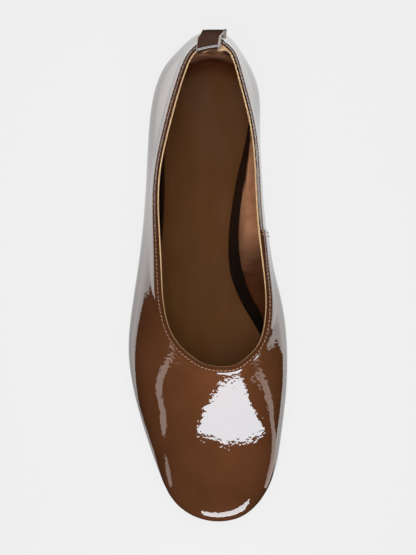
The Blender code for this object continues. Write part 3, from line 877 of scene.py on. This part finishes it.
def make_stitches():
    at = np.linspace(0, ROUND, 1600, endpoint=False)
    line, normal = stitch_line(at, STITCH_FROM_EDGE)
    closed = np.vstack([line, line[:1]])
    run = np.concatenate([[0], np.cumsum(np.linalg.norm(np.diff(closed, axis=0), axis=1))])
    count = int(round(run[-1] / STITCH_PITCH))
    centres, ways, ups = [], [], []
    for k in range(count):
        s = run[-1] * (k + 0.5) / count
        i = int(np.searchsorted(run, s) - 1) % len(at)
        way = unit(closed[i + 1] - closed[i])
        up = unit(normal[i] - way * np.dot(normal[i], way))
        side = np.cross(way, up)
        tilt = math.radians(14)
        way = way * math.cos(tilt) + side * math.sin(tilt)
        centres.append(line[i] + up * 0.10)
        ways.append(way)
        ups.append(up)
    # two rows down the side seam
    for back, start, number in ((1.6, 6.4, 13), (3.4, 6.6, 13)):
        one = np.array([SEAM_AT - back])
        for k in range(number):
            d = start + k * 2.3
            a, n = wall_point(one, d)
            b, _ = wall_point(one, d + 0.4)
            way = unit(b - a)
            up = unit(n - way * np.dot(n, way))
            centres.append(a + up * 0.10)
            ways.append(way)
            ups.append(up)
    obj = capsules("collar_stitching", centres, ways, ups, STITCH_LENGTH, THREAD, [STITCH])
    return piece(obj, "patent_leather")


def make_seam_bars():
    """Two bar tacks over the band at the side seam."""
    centres, ways, ups = [], [], []
    for back in (0.7, 2.0):
        a, n = wall_point(np.array([SEAM_AT - back]), 1.7)
        b, _ = wall_point(np.array([SEAM_AT - back + 0.35]), 2.7)
        way = unit(b - a)
        up = unit(n - way * np.dot(n, way))
        centres.append(a + up * 0.16)
        ways.append(way)
        ups.append(up)
    obj = capsules("seam_bars", centres, ways, ups, 2.9, 0.62, [STITCH])
    return piece(obj, "patent_leather")


def wall_point(at, d):
    """One point of the finished outer face: rib and distance from the collar."""
    three = np.array([at[0] - 0.4, at[0], at[0] + 0.4])
    grid, dist = outer_grid(three, np.array([0.0, 0.5, 1.0, 1.5, 2.0, 2.5, 3.0, 4.0, 5.0]), 60)
    along = grid[:, 2] - grid[:, 0]
    down = np.gradient(grid[:, 1], axis=0)
    n = unit(np.cross(along, down))
    if np.sum(n[:, 0] * grid[:, 1, 0]) < 0:
        n = -n
    lift = seam_lift(three[1:2], dist[:, 1:2])[:, 0]
    p = grid[:, 1] - n * (collar_inset(dist[:, 1], three[1:2]) - lift)[:, None]
    at_d = np.array([np.interp(d, dist[:, 1], p[:, k]) for k in range(3)])
    n_d = unit(np.array([np.interp(d, dist[:, 1], n[:, k]) for k in range(3)]))
    return at_d, n_d


# ------------------------------------------------------------------ flat layers
def slab(name, edge_of, top, bottom, round_r, cells, mats, count=260):
    """A layer between two heights; its closed edge is rounded. edge_of(inset) gives the edge."""
    r = round_r
    c = r * (1 - math.sqrt(0.5))
    rings = []
    for inset, drop in ((r, 0.0), (c, c), (0.0, r)):
        line = edge_of(inset)
        rings.append(np.column_stack([line, top(line) - drop]))
    for inset, rise in ((0.0, r), (c, c), (r, 0.0)):
        line = edge_of(inset)
        rings.append(np.column_stack([line, bottom(line) + rise]))
    n = len(rings[0])
    half = n // 2
    verts = [p for ring in rings for p in ring]
    faces = []
    for k in range(len(rings) - 1):
        faces += ring_faces(k * n, (k + 1) * n, n)
    for base, height in ((0, top), ((len(rings) - 1) * n, bottom)):
        ring = rings[base // n]
        rows = []
        for i in range(1, half):
            lat, med = ring[i], ring[n - i]
            row = [base + i]
            for k in range(1, cells):
                p = lat + (med - lat) * k / cells
                p = np.array([p[0], p[1], height(p[None, :2])[0]])
                row.append(len(verts))
                verts.append(p)
            row.append(base + n - i)
            rows.append(row)
        for low, high in zip(rows, rows[1:]):
            for k in range(cells):
                faces.append((low[k], low[k + 1], high[k + 1], high[k]))
        for k in range(cells):
            faces.append((base, rows[0][k + 1], rows[0][k]))
            faces.append((base + half, rows[-1][k], rows[-1][k + 1]))
    obj = mesh_object(name, place(np.array(verts)), faces, mats)
    outward(obj)
    return obj


def sharp_soft(obj, angle=40):
    obj.data.set_sharp_from_angle(angle=math.radians(angle))


def make_insole():
    at = around(260)
    top_at = WALL_T + GAP + INSOLE_T
    obj = slab("shaded_insole_board", lambda inset: feather(at, 0.6 + inset),
               lambda p: feather_z(p[:, 1]) + top_at,
               lambda p: feather_z(p[:, 1]) + WALL_T + GAP, 0.35, 12, [BOARD_AND_SHADE])
    return piece(obj, "insole_leather", "insole")


def sock_line(at, inset):
    line = feather(at, 1.1 + inset)
    table = np.array(SOCK_EDGE)
    med = at > TIP_AT
    limit = open_curve(table[:, 0], table[:, 1])(line[:, 1]) - inset
    limit -= 1.05 * smooth((line[:, 1] - 116.0) / 16.0)
    line[med, 0] = soft_min(line[med, 0], limit[med], 0.8)
    line[~med] = feather(at[~med], 2.0 + inset)
    ends = smooth(1 - np.minimum(at, ROUND - at) / 26.0) + smooth(1 - np.abs(at - TIP_AT) / 26.0)
    plain = feather(at, 1.1 + inset)
    return line * (1 - ends[:, None]) + plain * ends[:, None]


def soft_min(a, b, r):
    return 0.5 * (a + b - np.sqrt((a - b) ** 2 + r * r))


def open_curve(x, y):
    """A smooth function through points, for numbers between the first and the last."""
    pts = open_spline(np.column_stack([x, y]))
    t = np.linspace(0, 1, 400)
    p = pts(t)
    return lambda q: np.interp(q, p[:, 0], p[:, 1])


def make_sock():
    at = around(320)
    base = WALL_T + GAP + INSOLE_T
    obj = slab("sock", lambda inset: sock_line(at, inset),
               lambda p: feather_z(p[:, 1]) + base + SOCK_T,
               lambda p: feather_z(p[:, 1]) + base + 0.03, 0.28, 16, [SOCK])
    # painted shade: darker and redder at the back of the seat, with red light thrown from the heel lining
    where = np.array([v.co for v in obj.data.vertices]) / MM - SHIFT
    back = LENGTH / 2 - where[:, 1] - (where[:, 0] - CUP_MIDDLE) ** 2 / (2 * CUP_RADIUS)
    layer = obj.data.attributes.new("heel", "FLOAT", "POINT")
    layer.data.foreach_set("value", smooth((25.0 - back) / 11.0).astype(np.float32))
    return piece(obj, "insole_leather")


def make_outsole():
    at = around(320)
    obj = slab("sole_layer", lambda inset: feather(at, -SOLE_PROUD + inset),
               lambda p: feather_z(p[:, 1]) - GAP,
               lambda p: feather_z(p[:, 1]) - GAP - SOLE_T, 0.55, 14, [SOLE])
    return piece(obj, "sole_leather", "outsole")


def make_heel():
    """The low block with its slightly hollow breast, edges eased."""
    at = around(360)
    half = len(at) // 2

    def outline(inset):
        line = feather(at, -SOLE_PROUD + 0.4 + inset)
        lat = [line[i] for i in range(0, half) if line[i, 1] < HEEL_BREAST - 2]
        med = [line[len(at) - i] for i in range(1, half) if line[len(at) - i, 1] < HEEL_BREAST - 2]
        a = np.array([lat[-1][0], HEEL_BREAST - 1.0 - inset])
        b = np.array([med[-1][0], HEEL_BREAST - 1.0 - inset])
        breast = []
        for t in np.linspace(0, 1, 40):
            p = a + (b - a) * t
            breast.append(np.array([p[0], p[1] - 4.0 * 4 * t * (1 - t)]))
        return np.array(lat + breast + med[::-1])

    sizes = [len(outline(i)) for i in (0.0, 0.15, 0.5)]
    height = HEEL_HEIGHT - GAP
    if len(set(sizes)) > 1:
        base = outline(0.0)
        centre = base.mean(0)
        shrink = lambda inset: centre + (base - centre) * (1 - inset / 28.0)
    else:
        shrink = outline
    rings = []
    for inset, z in ((0.5, height), (0.15, height - 0.15), (0.0, height - 0.5),
                     (0.0, 0.5), (0.15, 0.15), (0.5, 0.0)):
        line = shrink(inset)
        rings.append(np.column_stack([line, np.full(len(line), z)]))
    n = len(rings[0])
    verts = np.vstack(rings)
    faces = []
    for k in range(len(rings) - 1):
        faces += ring_faces(k * n, (k + 1) * n, n)
    faces.append(tuple(range(n)))
    faces.append(tuple(range((len(rings) - 1) * n, len(rings) * n))[::-1])
    obj = mesh_object("heel_block", place(verts), faces, [HEEL])
    outward(obj)
    sharp_soft(obj, 35)
    return piece(obj, "heel_block", "heel")


# ------------------------------------------------------------------ the loop
def back_grid():
    at = np.concatenate([np.linspace(ROUND - 34, ROUND, 41), np.linspace(0, 34, 41)[1:]])
    return np.array([ring_at(at, level) for level in np.linspace(0, 1, 61)])


BACK_GRID = back_grid()


def back_line(z):
    """The heel wall's outer face at a height: a function of the sideways place."""
    xs, stations = [], []
    for i in range(BACK_GRID.shape[1]):
        column = BACK_GRID[:, i]
        h = min(z, column[-1, 2])
        xs.append(np.interp(h, column[:, 2], column[:, 0]))
        stations.append(np.interp(h, column[:, 2], column[:, 1]))
    order = np.argsort(xs)
    xs, stations = np.array(xs)[order], np.array(stations)[order]
    return lambda x: np.interp(x, xs, stations)


FOLD = 10  # the crease between the strap's front face and its top


def make_loop():
    rows = 150
    table = np.array([(p.out, p.up, p.shift, p.width * STRAP_WIDTH) for p in STRAP_PATH])
    low, high = np.array(table[:FOLD + 1]), np.array(table[FOLD:])
    cut = int(rows * 0.48)
    path = np.vstack([open_spline(low)(np.linspace(0, 1, cut)),
                      open_spline(high)(np.linspace(0, 1, rows - cut + 1))[1:]])
    collar_z = float(LAST(np.array([0.0]))[0, 4])
    cols = np.array([0, .012, .035, .07, .12, .2, .3, .4, .5, .6, .7, .8, .88, .93, .965, .988, 1])
    mid = np.empty((rows, len(cols), 3))
    for i, (out, up, shift, width) in enumerate(path):
        z = collar_z + min(up, 0.0) - 0.4
        hug = 1.0 - 0.85 * float(smooth((up + 1.0) / 4.5))
        wall_of = back_line(z)
        x = shift + width * (cols - 0.5)
        slope = (wall_of(x + 0.4) - wall_of(x - 0.4)) / 0.8
        middle = wall_of(shift)
        wall = wall_of(x)
        station = middle + (wall - middle) * hug + out * (1 + (np.hypot(1, slope) - 1) * hug)
        # the front face hangs a little lower on the lateral side
        skew = 0.13 * smooth((up - 1.0) / 3.0) * (1 - 0.6 * smooth((up - 6.0) / 3.0))
        if i >= cut:
            skew *= 1 - smooth((i - cut) / 9.0)
        station = station - skew * (x - shift)
        mid[i] = np.column_stack([x, station, np.full(len(cols), collar_z + up)])
    # soften the sampled wall before thickening
    for _ in range(3):
        for part in (mid[:cut], mid[cut - 1:]):
            part[1:-1] = 0.25 * part[:-2] + 0.5 * part[1:-1] + 0.25 * part[2:]
    along = np.gradient(mid, axis=0)
    across = np.gradient(mid, axis=1)
    n = unit(np.cross(along, across))
    width = path[:, 3][:, None]
    from_side = np.minimum(cols, 1 - cols)[None, :] * width
    r = 0.42
    half = STRAP_T / 2 * (0.30 + 0.70 * np.sqrt(np.clip(1 - (1 - np.clip(from_side / r, 0, 1)) ** 2, 0, 1)))
    # a thin line is pressed in beside each edge
    press = 0.05 * np.exp(-(((from_side - 1.0) / 0.28) ** 2))
    front = mid + n * (half - press)[..., None]
    back = mid - n * (half - press)[..., None]
    m = len(cols)
    verts = np.concatenate([front.reshape(-1, 3), back.reshape(-1, 3)])
    off = rows * m
    faces, mats = [], []
    for i in range(rows - 1):
        for k in range(m - 1):
            a = i * m + k
            faces.append((a, a + 1, a + m + 1, a + m))
            faces.append((off + a + m, off + a + m + 1, off + a + 1, off + a))
            kind = 1 if k >= m - 5 else 0
            mats += [kind, kind]
        for k in (0, m - 1):
            a = i * m + k
            quad = (a, a + m, off + a + m, off + a)
            faces.append(quad if k == 0 else quad[::-1])
            mats.append(1)
    for i in (0, rows - 1):
        for k in range(m - 1):
            a = i * m + k
            quad = (a, off + a, off + a + 1, a + 1)
            faces.append(quad if i == 0 else quad[::-1])
            mats.append(1)
    obj = mesh_object("loop_strap", place(verts), faces, [LOOP_FACE, LOOP_EDGE], mats)
    outward(obj)
    sharp_soft(obj, 17)
    return piece(obj, "loop_leather", "pull_loop")


make_upper()
make_stitches()
make_seam_bars()
make_insole()
make_sock()
make_outsole()
make_heel()
make_loop()


# ------------------------------------------------------------------ stage
def emitter(name, strength, colour=(1.0, 1.0, 1.0)):
    mat = bpy.data.materials.new(name)
    mat.use_nodes = True
    tree = mat.node_tree
    tree.nodes.clear()
    out = tree.nodes.new("ShaderNodeOutputMaterial")
    glow = tree.nodes.new("ShaderNodeEmission")
    glow.inputs["Color"].default_value = (*colour, 1.0)
    glow.inputs["Strength"].default_value = strength
    tree.links.new(glow.outputs["Emission"], out.inputs["Surface"])
    return mat


def card(name, corners, strength, colour=(1.0, 1.0, 1.0)):
    """A light card that only shows in gloss; corners are mm in the frame."""
    mesh = bpy.data.meshes.new(name)
    mesh.from_pydata([tuple(np.array(c, float) * MM) for c in corners], [],
                     [tuple(range(len(corners)))])
    mesh.materials.append(emitter(name + "_glow", strength, colour))
    obj = bpy.data.objects.new(name, mesh)
    bpy.context.scene.collection.objects.link(obj)
    return gloss_only(obj)


def gloss_only(obj):
    obj.visible_camera = False
    obj.visible_diffuse = False
    obj.visible_transmission = False
    obj.visible_shadow = False
    return obj


def floor_plane():
    mesh = bpy.data.meshes.new("floor")
    r = 3.0
    mesh.from_pydata([(-r, -r, 0), (r, -r, 0), (r, r, 0), (-r, r, 0)], [], [(0, 1, 2, 3)])
    mat, tree, shader = new_material("floor_pale", (0.05, 0.05, 0.05), 0.9)
    shader.inputs["Specular IOR Level"].default_value = 0.0
    shader.inputs["Emission Color"].default_value = (1.0, 1.0, 1.0, 1.0)
    shader.inputs["Emission Strength"].default_value = 0.84
    mesh.materials.append(mat)
    obj = bpy.data.objects.new("floor", mesh)
    obj.location.z = -0.0002
    bpy.context.scene.collection.objects.link(obj)
    obj.visible_glossy = False
    obj.visible_diffuse = False
    # the light the floor throws back
    mesh = bpy.data.meshes.new("floor_bounce")
    mesh.from_pydata([(-r, -r, 0), (r, -r, 0), (r, r, 0), (-r, r, 0)], [], [(0, 1, 2, 3)])
    mesh.materials.append(emitter("floor_bounce", 0.2))
    obj = bpy.data.objects.new("floor_bounce", mesh)
    obj.location.z = -0.0004
    bpy.context.scene.collection.objects.link(obj)
    obj.visible_camera = False
    obj.visible_glossy = False
    obj.visible_transmission = False
    obj.visible_shadow = False


def area_light(name, place_mm, aim_mm, size, power, colour=(1.0, 1.0, 1.0)):
    light = bpy.data.lights.new(name, "AREA")
    light.shape = "RECTANGLE"
    light.size, light.size_y = size
    light.energy = power
    light.color = colour
    obj = bpy.data.objects.new(name, light)
    bpy.context.scene.collection.objects.link(obj)
    from mathutils import Vector
    a, b = Vector(place_mm) * MM, Vector(aim_mm) * MM
    obj.location = a
    obj.rotation_euler = (b - a).to_track_quat("-Z", "Y").to_euler()
    obj.visible_glossy = False
    obj.visible_camera = False
    return obj


floor_plane()
area_light("overhead", (0, 100, 1900), (0, 0, 0), (2.2, 2.2), 1.9)
area_light("rear_key", (-20, 73, 220), (-8, 73, 0), (0.05, 0.155), 0.215)
area_light("vamp_key", (12, -68, 140), (12, -68, 0), (0.05, 0.08), 0.087)
area_light("front", (0, -900, 420), (0, 0, 30), (0.7, 0.5), 1.9)
area_light("toe_key", (-4, -198, 27), (-2, -112, 16), (0.14, 0.03), 0.042)

# Cards above, in front and at the sides: corners in mm.
card("softbox", [(x, y, 200) for x, y in (
    (-1, -125), (12, -124), (49, -125), (86, -129), (106, -134), (130, -142), (141, -149),
    (169, -157), (273, -183), (361, -206), (256, -199), (139, -191), (106, -189), (60, -189),
    (22, -191), (-3, -187), (-47, -183), (-102, -178), (-101, -173), (-86, -162), (-78, -151),
    (-62, -146), (-38, -138), (-4, -132))], 14.0, (0.84, 0.925, 1.0))
card("toe_strip", [(x, -1000, z) for x, z in (
    (-262, 236), (0, 287), (201, 298), (374, 371), (567, 414), (440, 0), (284, 0), (6, 0),
    (-127, 0), (-243, 0))], 10.4, (0.93, 0.97, 1.0))


def strip(name, first, second, strength, colour):
    """A narrow bent card between two edges, for the long streaks beside the vamp."""
    mesh = bpy.data.meshes.new(name)
    n = len(first)
    mesh.from_pydata([tuple(np.array(c, float) * MM) for c in first + second], [],
                     [(k, k + 1, n + k + 1, n + k) for k in range(n - 1)])
    mesh.materials.append(emitter(name + "_glow", strength, colour))
    obj = bpy.data.objects.new(name, mesh)
    bpy.context.scene.collection.objects.link(obj)
    return gloss_only(obj)


WARM = (1.0, 0.86, 0.79)
strip("lateral_strip",
      [(-90, y, z) for y, z in (
          (-72.5, 90.9), (-70.7, 83.4), (-70.1, 70.9), (-73.4, 63.6), (-78.5, 56.5),
          (-85.0, 54.2), (-92.5, 56.5), (-99.1, 54.6), (-105.7, 51.4), (-113.2, 51.6))],
      [(-90, y, z) for y, z in (
          (-83.3, 116.0), (-76.1, 96.4), (-76.0, 86.2), (-78.9, 78.3), (-82.5, 69.3),
          (-87.6, 66.6), (-94.9, 66.6), (-102.2, 68.7), (-108.9, 66.1), (-114.0, 58.7))],
      2.8, WARM)
strip("lateral_low",
      [(-90, y, z) for y, z in (
          (-124.1, 43.8), (-126.4, 41.1), (-128.9, 37.0), (-130.9, 32.5), (-133.7, 29.6),
          (-136.9, 26.8), (-140.5, 24.0), (-145.9, 21.8), (-150.7, 18.6), (-156.1, 15.0))],
      [(-90, y, z) for y, z in (
          (-125.0, 46.6), (-127.6, 46.7), (-130.6, 47.0), (-133.4, 46.2), (-137.8, 46.4),
          (-141.6, 46.3), (-146.2, 45.0), (-149.8, 42.7), (-155.7, 39.9), (-160.3, 35.4))],
      2.4, WARM)
strip("medial_strip",
      [(90, y, z) for y, z in (
          (-88.4, 110.6), (-79.8, 93.1), (-78.0, 79.4), (-79.4, 68.2), (-83.0, 58.9),
          (-87.1, 49.4), (-93.7, 41.8), (-101.2, 33.0), (-110.7, 28.5), (-123.8, 28.9),
          (-138.4, 27.3), (-154.4, 14.5))],
      [(90, y, z) for y, z in (
          (-80.1, 90.3), (-74.1, 77.6), (-73.8, 66.2), (-76.4, 55.8), (-80.4, 44.9),
          (-86.1, 37.9), (-91.8, 25.6), (-98.3, 7.0), (-107.2, -8.3), (-118.3, -16.9),
          (-132.9, -27.0), (-150.7, -36.4))],
      2.7, WARM)
strip("medial_front",
      [(90, y, z) for y, z in (
          (-36.2, 24.3), (-40.7, 31.5), (-46.7, 38.5), (-50.5, 44.8), (-56.5, 52.0))],
      [(90, y, z) for y, z in (
          (-33.5, 30.5), (-39.8, 37.2), (-43.2, 40.5), (-48.0, 45.5), (-55.0, 53.5))],
      3.0, (1.0, 1.0, 1.0))


def floor_glow():
    """The floor as gloss sees it: dimmer close to the shoe, none in front of the toe."""
    steps = ((0.5, 0.9), (8, 1.05), (16, 1.45), (26, 2.0), (38, 2.8), (52, 3.4), (75, 3.5),
             (110, 3.1), (200, 2.8), (300, 3.0), (420, 3.2))
    at = around(160)
    base, out = LAST(at)[:, :2], -inward(at)
    bm = bmesh.new()
    layer = bm.verts.layers.float.new("glow")
    rows = []
    for q, power in steps:
        row = []
        for x, y, z in place(np.column_stack([base + out * q, np.zeros(len(at))])):
            v = bm.verts.new((x, y, 0.0))
            rear = float(smooth((y - 0.03) / 0.05))
            gain = (0.5 * float(smooth((q - 42) / 22)) - 0.14) if x < 0 else 0.3 * float(smooth((q - 18) / 45))
            v[layer] = power * (0.9 + 0.08 * float(smooth((y + 0.01) / 0.05))) * (1 + rear * gain)
            row.append(v)
        rows.append(row)
    n = len(at)
    for low, high in zip(rows, rows[1:]):
        for i in range(n):
            bm.faces.new((low[i], low[(i + 1) % n], high[(i + 1) % n], high[i]))
    for point, way in (((0, -0.108, 0), (0, 1, 0)), ((-0.172, 0, 0), (1, 0, 0)),
                       ((-0.172, -0.010, 0), (-0.1, 1, 0)), ((0.110, 0, 0), (1, 0, 0)),
                       ((0.150, -0.050, 0), (0.11, 1, 0)), ((-0.068, 0, 0), (1, 0, 0)),
                       ((-0.068, -0.077, 0), (0.22, 1, 0))):
        bmesh.ops.bisect_plane(bm, geom=bm.verts[:] + bm.edges[:] + bm.faces[:], dist=1e-7,
                               plane_co=point, plane_no=way)
    dark = []
    for face in bm.faces:
        x, y, _ = face.calc_center_median()
        if (y < -0.108 or (x < -0.172 and y < -0.010 + 0.1 * (x + 0.172))
                or (x < -0.068 and y < -0.077 - 0.22 * (x + 0.068))
                or (x > 0.110 and y < -0.050 - 0.11 * (x - 0.150))):
            dark.append(face)
    bmesh.ops.delete(bm, geom=dark, context="FACES")
    mesh = bpy.data.meshes.new("floor_glow")
    bm.to_mesh(mesh)
    bm.free()
    mat = emitter("floor_glow", 1.0)
    tree = mat.node_tree
    tree.links.new(attribute(tree, "glow"), tree.nodes["Emission"].inputs["Strength"])
    mesh.materials.append(mat)
    obj = bpy.data.objects.new("floor_glow", mesh)
    bpy.context.scene.collection.objects.link(obj)
    gloss_only(obj)


floor_glow()

world = bpy.data.worlds.new("world")
world.use_nodes = True
world.node_tree.nodes["Background"].inputs["Color"].default_value = (1.0, 1.0, 1.0, 1.0)
world.node_tree.nodes["Background"].inputs["Strength"].default_value = 0.02
bpy.context.scene.world = world
bpy.context.scene.view_settings.view_transform = "Standard"
bpy.context.scene.view_settings.look = "None"

# ------------------------------------------------------------------ camera
camera = bpy.data.cameras.new("camera")
camera.sensor_fit = "VERTICAL"
camera.sensor_height = 24.0
camera.lens = 106.0
camera.clip_start = 0.05
camera.clip_end = 20.0
camera_object = bpy.data.objects.new("camera", camera)
camera_object.location = (0.0, 0.0, 1.3)
camera_object.rotation_euler = (0.0, 0.0, 0.0)
bpy.context.scene.collection.objects.link(camera_object)
bpy.context.scene.camera = camera_object

bpy.context.view_layer.update()
